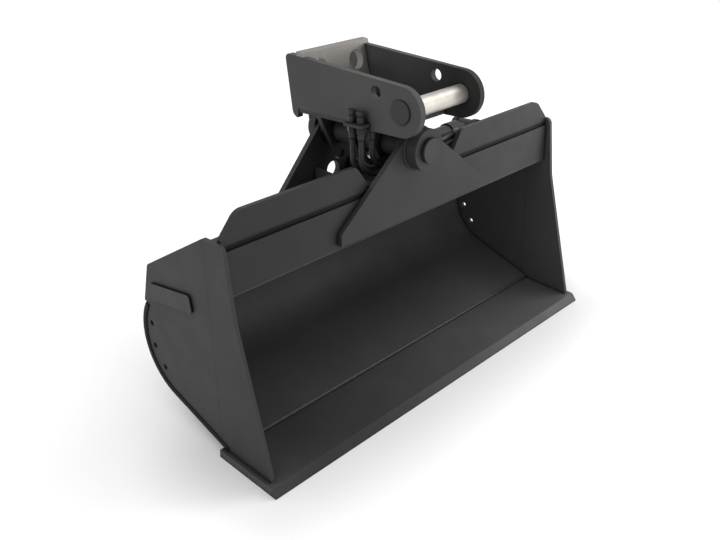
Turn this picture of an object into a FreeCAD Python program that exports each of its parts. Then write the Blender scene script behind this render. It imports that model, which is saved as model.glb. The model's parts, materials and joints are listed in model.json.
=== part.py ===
import FreeCAD, Part
import math
import os

from FreeCAD import Placement, Rotation, Vector

# Tilt ditching bucket, millimetres.
# X runs across the bucket, -Y is the open front and +Y the back, Z is up.
# The origin is on the cutting edge: middle of its front lower corner.

# Blade and bucket shell
BLADE_WIDTH = 1200.0
BLADE_DEPTH = 186.0
BLADE_THICKNESS = 20.0
BEVEL_LENGTH = 15.0
BEVEL_NOSE = 4.0
BLADE_LEDGE = 12.0
SIDE_THICKNESS = 10.0
SKIN_THICKNESS = 8.0
SKIN_LAP = 14.0
SKIN_INSET = 5.0
BACK_CENTRE_Y = 322.0
BACK_CENTRE_Z = 212.0
BACK_RADIUS = 145.0
WELD_GAP = 0.2

# Side plate outline, in the plane of the plate
SIDE_FRONT_Y = 26.0
SIDE_KINK_Y = 140.0
SIDE_KINK_Z = 368.0
SIDE_KINK_RADIUS = 220.0
SIDE_BROW_Y = 170.0
SIDE_TOP_Z = 529.0
SIDE_PEAK_Y = 232.0
SIDE_PEAK_Z = 525.0
SIDE_REAR_Y = 436.0
SIDE_REAR_Z = 383.0
SIDE_NOTCH_ANGLE = 28.5
SIDE_CORNER_RADIUS = 16.0
SIDE_HOLE_RADIUS = 7.0
SIDE_HOLES = [(435.0, 231.0), (428.0, 174.0), (394.0, 130.0)]

# Tilt axis: a line in the middle plane, sloping down to the back
TILT_LEAN = 5.5
TILT_Y = 320.0
TILT_Z = 573.0

# Torsion box behind the mouth, measured along and above the tilt axis
BAND_FRONT = -134.0
BAND_THICKNESS = 10.0
BAND_LOW = -177.0
BAND_TOP = -78.0
BOX_THICKNESS = 8.0
BOX_TOP_SETBACK = 7.0
BOX_INSET = 9.0
RIB_THICKNESS = 8.0
RIB_OFFSETS = [-330.0, 0.0, 330.0]

# Upright flanges on the box, one each side of the head
FLANGE_FRONT = -130.0
FLANGE_THICKNESS = 12.0
FLANGE_TOP = -2.0
FLANGE_INNER_FOOT = 152.0
FLANGE_INNER_TOP = 192.0
FLANGE_OUTER_TOP = 531.0
FLANGE_OUTER_STEP = 577.0
FLANGE_OUTER_LOW = -52.0
FLANGE_INNER_RADIUS = 20.0
FLANGE_OUTER_RADIUS = 38.0

# Hangers that hold the tilt pin
HANGER_THICKNESS = 14.0
FRONT_BOSS_RADIUS = 50.0
FRONT_BOSS_FACE = -181.0
FRONT_BOSS_BACK = -118.0
FRONT_HANGER_HALF = 263.0
FRONT_HANGER_SHOULDER = -139.0
FRONT_HANGER_FOOT = -166.0
FRONT_HANGER_CORNER = 8.0
REAR_HANGER_FRONT = 140.0
REAR_HANGER_THICKNESS = 15.0
REAR_HANGER_RADIUS = 38.0
REAR_HANGER_HALF = 186.0
REAR_HANGER_SHOULDER = -140.0
REAR_HANGER_FOOT = -215.0
REAR_HANGER_HOLE_RADIUS = 22.0
REAR_HANGER_HOLE_HEIGHT = -115.0
REAR_BOSS_RADIUS = 46.0
REAR_BOSS_FRONT = 137.0
REAR_BOSS_FACE = 178.0
GUSSET_THICKNESS = 10.0
GUSSET_OFFSET = 62.0
GUSSET_FRONT = 12.0
GUSSET_TOP = -94.0

# Tilt pin and hub
PIN_RADIUS = 22.5
PIN_HEAD_RADIUS = 29.0
PIN_HEAD_LENGTH = 9.5
PIN_FIT = 0.05
BUSH_WALL = 3.5
BUSH_FIT = 0.03
BUSH_LENGTH = 60.0
HUB_RADIUS = 32.0
HUB_FRONT = -114.5
HUB_BACK = 133.5
WASHER_GAP = 0.3
WASHER_RADIUS = 42.0
KEEPER_LENGTH = 74.0
KEEPER_WIDTH = 26.0
KEEPER_THICKNESS = 6.0
KEEPER_SLOT = 5.0
KEEPER_BOLT_RADIUS = 4.0
KEEPER_BOLT_DEPTH = 14.0

# Tilt cylinder, on the right of the hub
CYLINDER_STATION = -15.0
LUG_PIN_DROP = 64.4
CYLINDER_DROP = 56.9
CYLINDER_OUTER_X = 363.0
CYLINDER_PIN_RADIUS = 10.0
BARREL_RADIUS = 25.0
BARREL_BORE = 20.0
BARREL_INNER_END = 100.0
BARREL_OUTER_END = 300.0
BASE_CAP_RADIUS = 29.0
BASE_CAP_START = 277.0
BASE_CAP_END = 318.0
GLAND_RADIUS = 27.0
GLAND_START = 72.0
GLAND_SPIGOT = 14.0
ROD_RADIUS = 12.0
ROD_FIT = 0.05
GLAND_FIT = 0.1
PISTON_FIT = 0.05
PISTON_LENGTH = 24.0
PISTON_X = 180.0
EYE_RADIUS = 23.0
EYE_WIDTH = 44.0
OPEN_PIVOT_BORE = 18.6
NECK_RADIUS = 17.0
PORT_RADIUS = 7.5
PORT_XS = [128.0, 262.0]
PORT_HEIGHT = 13.0
EAR_THICKNESS = 12.0
EAR_GAP = 1.0
EAR_RADIUS = 27.0
EAR_HALF_BASE = 52.0

# Head: the coupler box that the machine takes hold of
HEAD_HALF_WIDTH = 114.0
HEAD_PLATE_THICKNESS = 16.0
NOSE_Y = 139.0
NOSE_Z = 706.0
NOSE_RADIUS = 57.0
HEAD_REAR_Y = 511.0
HEAD_REAR_FOOT_Y = 480.0
HEAD_REAR_FOOT_Z = 609.0
HEAD_REAR_TOP_Z = 756.0
HEAD_TOP_CORNER = 12.0
HEAD_FOOT_CORNER = 20.0
HEAD_FOOT_HEIGHT = 52.0
HEAD_HOLE_Y = 215.0
HEAD_HOLE_Z = 732.0
HEAD_HOLE_RADIUS = 15.0
FLOOR_BOTTOM = 61.0
FLOOR_THICKNESS = 10.0
FLOOR_FRONT = -150.0
FLOOR_WIDE_FRONT = -94.0
FLOOR_BACK = 132.0
NOTCH_RADIUS = 5.0
CROSS_THICKNESS = 20.0
CROSS_TOP_Y = 474.0
CROSS_TOP_Z = 767.0
CROSS_FOOT_Y = 433.0
CROSS_HOLE_RADIUS = 24.0
CROSS_HOLE_OFFSET = 61.0
CROSS_HOLE_DROP = 48.0
SHAFT_RADIUS = 22.5
CAP_RADIUS = 27.0
CAP_LENGTH = 5.0
CAP_CHAMFER = 1.2
LUG_THICKNESS = 14.0
LUG_FRONTS = {"front": -54.0, "middle": 14.0, "rear": 105.0}
LUG_HALF_TOP = 80.0
LUG_TIP_RADIUS = 16.0

# Hydraulic couplings and hoses
COUPLING_X = -130.0
COUPLING_STATIONS = [-60.0, -88.0]
LOW_HOSE = -54.0
HIGH_HOSE = -39.5
PORT_SPREAD = 1.5
FRONT_HOSES = -88.0
REAR_HOSES = -68.0
TEE_PASS_X = 150.0
TEE_PASS = -84.0
COUPLING_SHELF_TOP = 74.0
COUPLING_SHELF_THICKNESS = 6.0
COUPLING_SHELF_BACK = -44.0
COUPLING_SHELF_FRONT = -103.0
COUPLING_SHELF_OUT = 32.0
COUPLING_RADIUS = 8.5
COUPLING_HEIGHT = 30.0
COUPLING_NUT_RADIUS = 11.0
COUPLING_NUT_LENGTH = 14.0
HOSE_RADIUS = 6.5
FERRULE_RADIUS = 8.5
FERRULE_LENGTH = 16.0

TEE_HALF_LENGTH = 10.0
TEE_DEPTH = 18.0
TEE_TOP = -30.0
TEE_BOTTOM = -66.0
TEE_STATION = -62.0
FLOOR_FITTING_X = -92.0
FLOOR_FITTING_STATIONS = [-57.0, -85.0]
FLOOR_FITTING_LENGTH = 14.0
BEND_SHARE = 0.45

# Bare name plate on the left side
BADGE_LENGTH = 148.0
BADGE_HEIGHT = 42.0
BADGE_THICKNESS = 6.0
BADGE_CORNER = 8.0
BADGE_Y = 348.0
BADGE_Z = 338.0
BADGE_LEAN = 12.0

SIDE_OUTER = BLADE_WIDTH / 2 - BLADE_LEDGE
SIDE_INNER = SIDE_OUTER - SIDE_THICKNESS
BACK_INNER_RADIUS = BACK_RADIUS - SKIN_THICKNESS
HEAD_INNER = HEAD_HALF_WIDTH - HEAD_PLATE_THICKNESS
FLOOR_TOP = FLOOR_BOTTOM + FLOOR_THICKNESS
LEAN = math.radians(TILT_LEAN)

parts = {}


def to_world(shape):
    """Put a shape drawn as (across, along the tilt axis, above it) in its place."""
    turned = shape.copy()
    turned.Placement = Placement(Vector(0, TILT_Y, TILT_Z), Rotation(Vector(1, 0, 0), -TILT_LEAN))
    return turned


def world_yz(along, above):
    y = TILT_Y + along * math.cos(LEAN) + above * math.sin(LEAN)
    z = TILT_Z - along * math.sin(LEAN) + above * math.cos(LEAN)
    return y, z


def tilt_along_above(y, z):
    along = (y - TILT_Y) * math.cos(LEAN) - (z - TILT_Z) * math.sin(LEAN)
    above = (y - TILT_Y) * math.sin(LEAN) + (z - TILT_Z) * math.cos(LEAN)
    return along, above


def rounded_edges(corners, closed=True):
    """Straight edges through the corners, with a tangent arc at each corner that has a radius."""
    count = len(corners)
    points = [corner[0] for corner in corners]
    radii = [corner[1] for corner in corners]
    edges = []
    starts = []
    ends = []
    middles = []
    for i in range(count):
        here = points[i]
        if radii[i] <= 0 or (not closed and i in (0, count - 1)):
            starts.append(here)
            ends.append(here)
            middles.append(None)
            continue
        back = (points[i - 1] - here).normalize()
        ahead = (points[(i + 1) % count] - here).normalize()
        half = back.getAngle(ahead) / 2
        reach = radii[i] / math.tan(half)
        bisector = (back + ahead).normalize()
        centre = here + bisector * (radii[i] / math.sin(half))
        starts.append(here + back * reach)
        ends.append(here + ahead * reach)
        middles.append(centre - bisector * radii[i])
    for i in range(count):
        if middles[i] is not None:
            edges.append(Part.Arc(starts[i], middles[i], ends[i]).toShape())
        if i == count - 1 and not closed:
            break
        following = starts[(i + 1) % count]
        if ends[i].distanceToPoint(following) > 1e-6:
            edges.append(Part.LineSegment(ends[i], following).toShape())
    return edges


def outline(corners):
    return Part.Face(Part.Wire(rounded_edges(corners)))


def plate_across(corners, x_from, x_to):
    """A plate whose outline is given as (y, z, corner radius), between two X values."""
    face = outline([(Vector(x_from, y, z), r) for y, z, r in corners])
    return face.extrude(Vector(x_to - x_from, 0, 0))


def plate_along(corners, front, back):
    """A plate square to the tilt axis: outline as (x, height, corner radius)."""
    face = outline([(Vector(x, front, h), r) for x, h, r in corners])
    return to_world(face.extrude(Vector(0, back - front, 0)))


def rod_along(radius, front, back, x=0.0, above=0.0):
    return to_world(Part.makeCylinder(radius, back - front, Vector(x, front, above), Vector(0, 1, 0)))


def rod_across(radius, x_from, x_to, along, above):
    return to_world(Part.makeCylinder(radius, x_to - x_from, Vector(x_from, along, above), Vector(1, 0, 0)))


def mirrored(shape):
    return shape.mirror(Vector(0, 0, 0), Vector(1, 0, 0))


def solids(*pieces):
    return Part.makeCompound(list(pieces))


def touch_point(point, centre, radius, side):
    """Where the line from a point touches a circle; side 1 turns left from the point, -1 right."""
    across = point[0] - centre[0]
    up = point[1] - centre[1]
    turn = math.atan2(up, across) + side * math.acos(radius / math.hypot(across, up))
    return centre[0] + radius * math.cos(turn), centre[1] + radius * math.sin(turn)


def tongue(front, centre, radius, corners, up):
    """Face square to the tilt axis: a round end about the centre, its straight sides running to the corners."""
    right_x, right_h = touch_point(corners[0][:2], centre, radius, up)
    left_x, left_h = touch_point(corners[-1][:2], centre, radius, -up)
    right = Vector(right_x, front, right_h)
    left = Vector(left_x, front, left_h)
    crown = Vector(centre[0], front, centre[1] + up * radius)
    points = [(right, 0)]
    points += [(Vector(x, front, h), r) for x, h, r in corners]
    points += [(left, 0)]
    edges = rounded_edges(points, closed=False)
    edges.append(Part.Arc(left, crown, right).toShape())
    return Part.Face(Part.Wire(edges))


def shell_path(x):
    """Outer line of the skin: floor, round back, ceiling up to the band."""
    floor_y = BLADE_DEPTH - SKIN_LAP
    floor_z = BLADE_THICKNESS
    lip_y, lip_z = world_yz(BAND_FRONT + BAND_THICKNESS, BAND_LOW + BOX_THICKNESS)
    centre = (BACK_CENTRE_Y, BACK_CENTRE_Z)
    low_y, low_z = touch_point((floor_y, floor_z), centre, BACK_RADIUS, 1)
    high_y, high_z = touch_point((lip_y, lip_z), centre, BACK_RADIUS, -1)
    start = Vector(x, floor_y, floor_z)
    low = Vector(x, low_y, low_z)
    rear = Vector(x, BACK_CENTRE_Y + BACK_RADIUS, BACK_CENTRE_Z)
    high = Vector(x, high_y, high_z)
    end = Vector(x, lip_y, lip_z)
    return start, low, rear, high, end


def shell_edges(x):
    start, low, rear, high, end = shell_path(x)
    floor = Part.LineSegment(start, low).toShape()
    back = Part.Arc(low, rear, high).toShape()
    ceiling = Part.LineSegment(high, end).toShape()
    return [floor, back, ceiling]


def shell_filled(x_from, x_to):
    """Everything inside the skin's outer line, as one solid."""
    edges = shell_edges(x_from)
    start, low, rear, high, end = shell_path(x_from)
    edges.append(Part.LineSegment(end, start).toShape())
    return Part.Face(Part.Wire(edges)).extrude(Vector(x_to - x_from, 0, 0))


def make_skin():
    half = SIDE_OUTER - SKIN_INSET
    wire = Part.Wire(shell_edges(-half))
    sheet = wire.makeOffset2D(-SKIN_THICKNESS, join=0, fill=True, openResult=True)
    if sheet.BoundBox.YMax > BACK_CENTRE_Y + BACK_RADIUS + 1:
        sheet = wire.makeOffset2D(SKIN_THICKNESS, join=0, fill=True, openResult=True)
    return sheet.extrude(Vector(2 * half, 0, 0))


def inner_point(angle, radius):
    turn = math.radians(angle)
    return BACK_CENTRE_Y + radius * math.cos(turn), BACK_CENTRE_Z + radius * math.sin(turn)


def side_plate_face(x):
    """Outline of a side plate: it stands on the blade and on the skin, and caps the torsion box."""
    start, low, rear, high, end = shell_path(x)
    slope = math.atan2(low.z - start.z, low.y - start.y)
    lift = SKIN_THICKNESS + WELD_GAP
    step_y = start.y - WELD_GAP
    normal = Vector(0, -math.sin(slope), math.cos(slope))
    floor_start = start + normal * lift
    floor_start = Vector(x, step_y, floor_start.z + (step_y - floor_start.y) * math.tan(slope))
    radius = BACK_RADIUS - lift
    low_angle = math.degrees(slope) - 90
    floor_end = Vector(x, *inner_point(low_angle, radius))
    middle = Vector(x, *inner_point((low_angle + SIDE_NOTCH_ANGLE) / 2, radius))
    arc_end = Vector(x, *inner_point(SIDE_NOTCH_ANGLE, radius))
    notch = Vector(x, *inner_point(SIDE_NOTCH_ANGLE, BACK_RADIUS + 8.0))
    upper = rounded_edges([
        (notch, 0),
        (Vector(x, SIDE_REAR_Y, SIDE_REAR_Z), SIDE_CORNER_RADIUS),
        (Vector(x, SIDE_PEAK_Y, SIDE_PEAK_Z), 10.0),
        (Vector(x, SIDE_BROW_Y, SIDE_TOP_Z), SIDE_CORNER_RADIUS),
        (Vector(x, SIDE_KINK_Y, SIDE_KINK_Z), SIDE_KINK_RADIUS),
        (Vector(x, SIDE_FRONT_Y, BLADE_THICKNESS), 0),
        (Vector(x, step_y, BLADE_THICKNESS), 0),
        (floor_start, 0),
        (floor_end, 0),
    ], closed=False)
    edges = upper + [Part.Arc(floor_end, middle, arc_end).toShape(), Part.LineSegment(arc_end, notch).toShape()]
    return Part.Face(Part.Wire(edges))


def make_side_plate():
    plate = side_plate_face(SIDE_INNER).extrude(Vector(SIDE_THICKNESS, 0, 0))
    for y, z in SIDE_HOLES:
        hole = Part.makeCylinder(SIDE_HOLE_RADIUS, 3 * SIDE_THICKNESS, Vector(SIDE_INNER - SIDE_THICKNESS, y, z), Vector(1, 0, 0))
        plate = plate.cut(hole)
    return plate


def make_blade():
    half = BLADE_WIDTH / 2
    return plate_across([
        (0, 0, 0),
        (BLADE_DEPTH, 0, 0),
        (BLADE_DEPTH, BLADE_THICKNESS, 0),
        (BEVEL_LENGTH, BLADE_THICKNESS, 0),
        (0, BEVEL_NOSE, 0),
    ], -half, half)


def box_corners():
    """Outer line of the bent top plate and the rear plate of the torsion box."""
    front = world_yz(BAND_FRONT + BOX_TOP_SETBACK, BAND_TOP + BOX_THICKNESS)
    peak = (SIDE_PEAK_Y, SIDE_PEAK_Z - BOX_INSET)
    rear_run = math.atan2(SIDE_PEAK_Z - SIDE_REAR_Z, SIDE_REAR_Y - SIDE_PEAK_Y)
    rear = (SIDE_REAR_Y - BOX_INSET * math.tan(rear_run / 2) - 2.0, SIDE_REAR_Z - BOX_INSET)
    foot = inner_point(SIDE_NOTCH_ANGLE + 3.0, BACK_RADIUS + 0.2)
    return front, peak, rear, foot


def bent_sheet(points, thickness, x_from, x_to):
    edges = rounded_edges([(Vector(x_from, y, z), r) for y, z, r in points], closed=False)
    wire = Part.Wire(edges)
    sheet = wire.makeOffset2D(-thickness, join=0, fill=True, openResult=True)
    inside = sheet.CenterOfMass.z < wire.CenterOfMass.z
    if not inside:
        sheet = wire.makeOffset2D(thickness, join=0, fill=True, openResult=True)
    return sheet.extrude(Vector(x_to - x_from, 0, 0))


def make_box_top():
    front, peak, rear, foot = box_corners()
    return bent_sheet([(*front, 0), (*peak, 12.0), (*rear, 0)], BOX_THICKNESS, -SIDE_INNER, SIDE_INNER)


def make_box_rear(skin, top):
    """Steep rear plate: closes the box between the bent top plate and the round back."""
    front, peak, rear, foot = box_corners()
    run = Vector(0, foot[0] - rear[0], foot[1] - rear[1]).normalize()
    inward = Vector(0, run.z, -run.y) * BOX_THICKNESS
    plate = plate_across([(*rear, 0), (*foot, 0), (foot[0] + inward.y, foot[1] + inward.z, 0),
                          (rear[0] + inward.y, rear[1] + inward.z, 0)], -SIDE_INNER, SIDE_INNER)
    plate = plate.cut(top).cut(skin)
    return max(plate.Solids, key=lambda solid: solid.Volume)


def make_band():
    profile = [
        (*world_yz(BAND_FRONT, BAND_LOW), 0),
        (*world_yz(BAND_FRONT + BAND_THICKNESS, BAND_LOW), 0),
        (*world_yz(BAND_FRONT + BAND_THICKNESS, BAND_TOP), 0),
        (*world_yz(BAND_FRONT, BAND_TOP), 0),
    ]
    return plate_across(profile, -SIDE_INNER, SIDE_INNER)


def box_inside():
    """A solid that fills the box from the band to the rear plate, above the skin."""
    front, peak, rear, foot = box_corners()
    back = BAND_FRONT + BAND_THICKNESS
    deep = BOX_THICKNESS
    profile = [
        (*world_yz(back, BAND_LOW), 0),
        (*world_yz(back, BAND_TOP), 0),
        (peak[0] - 3.0, peak[1] - deep - 1.0, 0),
        (rear[0] - deep, rear[1] - deep, 0),
        (foot[0] - deep, foot[1], 0),
        (BACK_CENTRE_Y, BACK_CENTRE_Z, 0),
    ]
    return profile


def make_ribs(skin, top, rear, band):
    ribs = []
    filled = shell_filled(-BLADE_WIDTH, BLADE_WIDTH)
    for offset in RIB_OFFSETS:
        rib = plate_across(box_inside(), offset - RIB_THICKNESS / 2, offset + RIB_THICKNESS / 2)
        for neighbour in (filled, top, rear, band):
            rib = rib.cut(neighbour)
        ribs.append(max(rib.Solids, key=lambda solid: solid.Volume))
    return solids(*ribs)


def make_flange():
    foot = BAND_TOP + BOX_THICKNESS
    plate = plate_along([
        (FLANGE_INNER_FOOT, FLANGE_OUTER_LOW - 4, 0),
        (FLANGE_INNER_TOP, FLANGE_TOP, FLANGE_INNER_RADIUS),
        (FLANGE_OUTER_TOP, FLANGE_TOP, FLANGE_OUTER_RADIUS),
        (FLANGE_OUTER_STEP, FLANGE_OUTER_LOW, 0),
        (FLANGE_OUTER_STEP, foot - 12, 0),
        (FLANGE_INNER_FOOT, foot - 12, 0),
    ], FLANGE_FRONT, FLANGE_FRONT + FLANGE_THICKNESS)
    return plate


def hanger_face(radius, half, shoulder, foot, corner, front):
    """Triangular hanger with a round top about the tilt axis."""
    return tongue(front, (0.0, 0.0), radius, [
        (half, shoulder, corner),
        (half, foot, 0),
        (-half, foot, 0),
        (-half, shoulder, corner),
    ], 1)


def make_front_hanger():
    face = hanger_face(FRONT_BOSS_RADIUS, FRONT_HANGER_HALF, FRONT_HANGER_SHOULDER, FRONT_HANGER_FOOT,
                       FRONT_HANGER_CORNER, BAND_FRONT - HANGER_THICKNESS)
    plate = to_world(face.extrude(Vector(0, HANGER_THICKNESS, 0)))
    return plate.cut(rod_along(FRONT_BOSS_RADIUS - 6.0 + WELD_GAP, FRONT_BOSS_FACE, 0))


def make_front_boss():
    front = BAND_FRONT - HANGER_THICKNESS
    ring = rod_along(FRONT_BOSS_RADIUS, FRONT_BOSS_FACE, front)
    spigot = rod_along(FRONT_BOSS_RADIUS - 6.0, front, FRONT_BOSS_BACK)
    boss = ring.fuse(spigot)
    return boss.cut(rod_along(PIN_RADIUS + PIN_FIT, FRONT_BOSS_FACE - 1, FRONT_BOSS_BACK + 1)).removeSplitter()


def make_rear_hanger(box_solid):
    back = REAR_HANGER_FRONT + REAR_HANGER_THICKNESS
    face = hanger_face(REAR_HANGER_RADIUS, REAR_HANGER_HALF, REAR_HANGER_SHOULDER, REAR_HANGER_FOOT, 10.0, REAR_HANGER_FRONT)
    plate = to_world(face.extrude(Vector(0, REAR_HANGER_THICKNESS, 0)))
    plate = plate.cut(rod_along(REAR_HANGER_RADIUS - 6.0 + WELD_GAP, REAR_BOSS_FRONT - 1, back + 1))
    plate = plate.cut(rod_along(REAR_HANGER_HOLE_RADIUS, REAR_BOSS_FRONT - 1, back + 1, above=REAR_HANGER_HOLE_HEIGHT))
    return plate.cut(box_solid)


def make_rear_boss():
    back = REAR_HANGER_FRONT + REAR_HANGER_THICKNESS
    boss = rod_along(REAR_HANGER_RADIUS - 6.0, REAR_BOSS_FRONT, back)
    boss = boss.fuse(rod_along(REAR_BOSS_RADIUS, back, REAR_BOSS_FACE))
    boss = boss.cut(rod_along(PIN_RADIUS + PIN_FIT, REAR_BOSS_FRONT - 1, REAR_BOSS_FACE + 1))
    for x, above in keeper_bolt_places():
        boss = boss.cut(rod_along(KEEPER_BOLT_RADIUS + WELD_GAP, REAR_BOSS_FACE - KEEPER_BOLT_DEPTH - 1, REAR_BOSS_FACE + 1,
                                  x=x, above=above))
    return boss.removeSplitter()


def box_solid():
    """Outer form of the box between the side plates, used to seat what stands on it."""
    front, peak, rear, foot = box_corners()
    band_low = world_yz(BAND_FRONT, BAND_LOW)
    band_top = world_yz(BAND_FRONT, BAND_TOP)
    step = world_yz(BAND_FRONT + BOX_TOP_SETBACK, BAND_TOP)
    profile = [(*band_low, 0), (*band_top, 0), (*step, 0), (*front, 0), (*peak, 12.0), (*rear, 0), (*foot, 0),
               (BACK_CENTRE_Y, BACK_CENTRE_Z, 0)]
    return plate_across(profile, -SIDE_INNER, SIDE_INNER)


def make_gussets(box):
    front_along = GUSSET_FRONT
    pieces = []
    for sign in (-1, 1):
        x = sign * GUSSET_OFFSET - GUSSET_THICKNESS / 2
        profile = [
            (*world_yz(front_along, GUSSET_TOP - 12.0), 6.0),
            (*world_yz(REAR_HANGER_FRONT, GUSSET_TOP), 0),
            (*world_yz(REAR_HANGER_FRONT, REAR_HANGER_FOOT), 0),
            (*world_yz(front_along, REAR_HANGER_FOOT), 0),
        ]
        gusset = plate_across(profile, x, x + GUSSET_THICKNESS).cut(box)
        pieces.append(max(gusset.Solids, key=lambda solid: solid.Volume))
    return solids(*pieces)


def make_tilt_pin():
    head = rod_along(PIN_HEAD_RADIUS, FRONT_BOSS_FACE - PIN_HEAD_LENGTH, FRONT_BOSS_FACE)
    shank = rod_along(PIN_RADIUS, FRONT_BOSS_FACE, REAR_BOSS_FACE + KEEPER_THICKNESS + 6.0)
    pin = head.fuse(shank).removeSplitter()
    return pin.cut(keeper_slot())


def keeper_slot():
    """Flat across the back end of the pin that the keeper plate sits in."""
    depth = PIN_RADIUS - KEEPER_SLOT
    block = Part.makeBox(2 * PIN_RADIUS + 4, KEEPER_THICKNESS, KEEPER_SLOT + 4,
                         Vector(-PIN_RADIUS - 2, REAR_BOSS_FACE, depth))
    return to_world(block)


def keeper_bolt_places():
    above = PIN_RADIUS - KEEPER_SLOT + 0.2 + KEEPER_WIDTH / 2
    reach = KEEPER_LENGTH / 2 - 11.0
    return [(-reach, above), (reach, above)]


def make_keeper():
    low = PIN_RADIUS - KEEPER_SLOT + 0.2
    half = KEEPER_LENGTH / 2
    plate = plate_along([(-half, low, 4), (half, low, 4), (half, low + KEEPER_WIDTH, 4), (-half, low + KEEPER_WIDTH, 4)],
                        REAR_BOSS_FACE, REAR_BOSS_FACE + KEEPER_THICKNESS)
    for x, above in keeper_bolt_places():
        plate = plate.cut(rod_along(KEEPER_BOLT_RADIUS + 0.3, REAR_BOSS_FACE - 1, REAR_BOSS_FACE + KEEPER_THICKNESS + 1,
                                    x=x, above=above))
    return plate


def hexagon_along(across_flats, front, back, x, above):
    radius = across_flats / math.sqrt(3)
    corners = []
    for i in range(6):
        turn = math.radians(60 * i)
        corners.append((x + radius * math.cos(turn), above + radius * math.sin(turn), 0))
    return plate_along(corners, front, back)


def make_keeper_bolts():
    bolts = []
    face = REAR_BOSS_FACE + KEEPER_THICKNESS
    for x, above in keeper_bolt_places():
        bolt = hexagon_along(13.0, face, face + 5.5, x, above)
        shank = rod_along(KEEPER_BOLT_RADIUS, REAR_BOSS_FACE - KEEPER_BOLT_DEPTH, face, x=x, above=above)
        bolts.append(bolt.fuse(shank).removeSplitter())
    return solids(*bolts)


def make_washers():
    pieces = []
    for front, back in ((FRONT_BOSS_BACK + WASHER_GAP, HUB_FRONT - WASHER_GAP), (HUB_BACK + WASHER_GAP, REAR_BOSS_FRONT - WASHER_GAP)):
        ring = rod_along(WASHER_RADIUS, front, back)
        pieces.append(ring.cut(rod_along(PIN_RADIUS + 0.4, front - 1, back + 1)))
    return solids(*pieces)


def make_hub():
    bush_radius = PIN_RADIUS + BUSH_WALL
    hub = rod_along(HUB_RADIUS, HUB_FRONT, HUB_BACK)
    hub = hub.cut(rod_along(PIN_RADIUS + 1.5, HUB_FRONT - 1, HUB_BACK + 1))
    for front, back in ((HUB_FRONT - 1, HUB_FRONT + BUSH_LENGTH), (HUB_BACK - BUSH_LENGTH, HUB_BACK + 1)):
        hub = hub.cut(rod_along(bush_radius, front, back))
    return hub


def make_bushes():
    bush_radius = PIN_RADIUS + BUSH_WALL
    pieces = []
    for front, back in ((HUB_FRONT, HUB_FRONT + BUSH_LENGTH), (HUB_BACK - BUSH_LENGTH, HUB_BACK)):
        bush = rod_along(bush_radius, front, back)
        pieces.append(bush.cut(rod_along(PIN_RADIUS + BUSH_FIT, front - 1, back + 1)))
    return solids(*pieces)


def make_lug(front):
    """V-shaped lug under the head floor: carries the hub and ends round the cylinder pin."""
    back = front + LUG_THICKNESS
    face = tongue(front, (0.0, -LUG_PIN_DROP), LUG_TIP_RADIUS, [
        (LUG_HALF_TOP, FLOOR_BOTTOM, 0),
        (-LUG_HALF_TOP, FLOOR_BOTTOM, 0),
    ], -1)
    lug = to_world(face.extrude(Vector(0, LUG_THICKNESS, 0)))
    lug = lug.cut(rod_along(HUB_RADIUS + WELD_GAP, front - 1, back + 1))
    return lug.cut(rod_along(CYLINDER_PIN_RADIUS + PIN_FIT, front - 1, back + 1, above=-LUG_PIN_DROP))


def make_lug_pin():
    front = LUG_FRONTS["front"] - 2.0
    back = LUG_FRONTS["middle"] + LUG_THICKNESS
    pin = rod_along(CYLINDER_PIN_RADIUS, front, back + 6.0, above=-LUG_PIN_DROP)
    head = rod_along(CYLINDER_PIN_RADIUS + 5.0, back + 0.2, back + 6.0, above=-LUG_PIN_DROP)
    return pin.fuse(head).removeSplitter()


def make_pin_spacers():
    """Sleeves that keep the rod eye in the middle between its lugs."""
    half = EYE_WIDTH / 2
    gaps = [(LUG_FRONTS["front"] + LUG_THICKNESS, CYLINDER_STATION - half - 0.3),
            (CYLINDER_STATION + half + 0.3, LUG_FRONTS["middle"])]
    pieces = []
    for front, back in gaps:
        ring = rod_along(CYLINDER_PIN_RADIUS + 5.0, front, back, above=-LUG_PIN_DROP)
        pieces.append(ring.cut(rod_along(CYLINDER_PIN_RADIUS + WELD_GAP, front - 1, back + 1, above=-LUG_PIN_DROP)))
    return solids(*pieces)


def eye_block(x):
    half = EYE_WIDTH / 2
    return rod_along(EYE_RADIUS, CYLINDER_STATION - half, CYLINDER_STATION + half, x=x, above=-CYLINDER_DROP)


def make_barrel():
    """Barrel closed at its outer end by a cap with the base eye."""
    barrel = rod_across(BARREL_RADIUS, BARREL_INNER_END, BARREL_OUTER_END, CYLINDER_STATION, -CYLINDER_DROP)
    cap = rod_across(BASE_CAP_RADIUS, BASE_CAP_START, BASE_CAP_END, CYLINDER_STATION, -CYLINDER_DROP)
    neck = rod_across(NECK_RADIUS, BASE_CAP_END, CYLINDER_OUTER_X, CYLINDER_STATION, -CYLINDER_DROP)
    barrel = barrel.fuse(cap).fuse(neck).fuse(eye_block(CYLINDER_OUTER_X))
    for x in PORT_XS:
        boss = Part.makeCylinder(PORT_RADIUS, BARREL_RADIUS + PORT_HEIGHT,
                                 Vector(x, CYLINDER_STATION, -CYLINDER_DROP), Vector(0, -1, 0))
        barrel = barrel.fuse(to_world(boss))
    barrel = barrel.cut(rod_across(BARREL_BORE, BARREL_INNER_END - 1, BASE_CAP_START, CYLINDER_STATION, -CYLINDER_DROP))
    half = EYE_WIDTH / 2
    barrel = barrel.cut(rod_along(CYLINDER_PIN_RADIUS + PIN_FIT, CYLINDER_STATION - half - 1, CYLINDER_STATION + half + 1,
                                  x=CYLINDER_OUTER_X, above=-CYLINDER_DROP))
    return barrel.removeSplitter()


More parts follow.
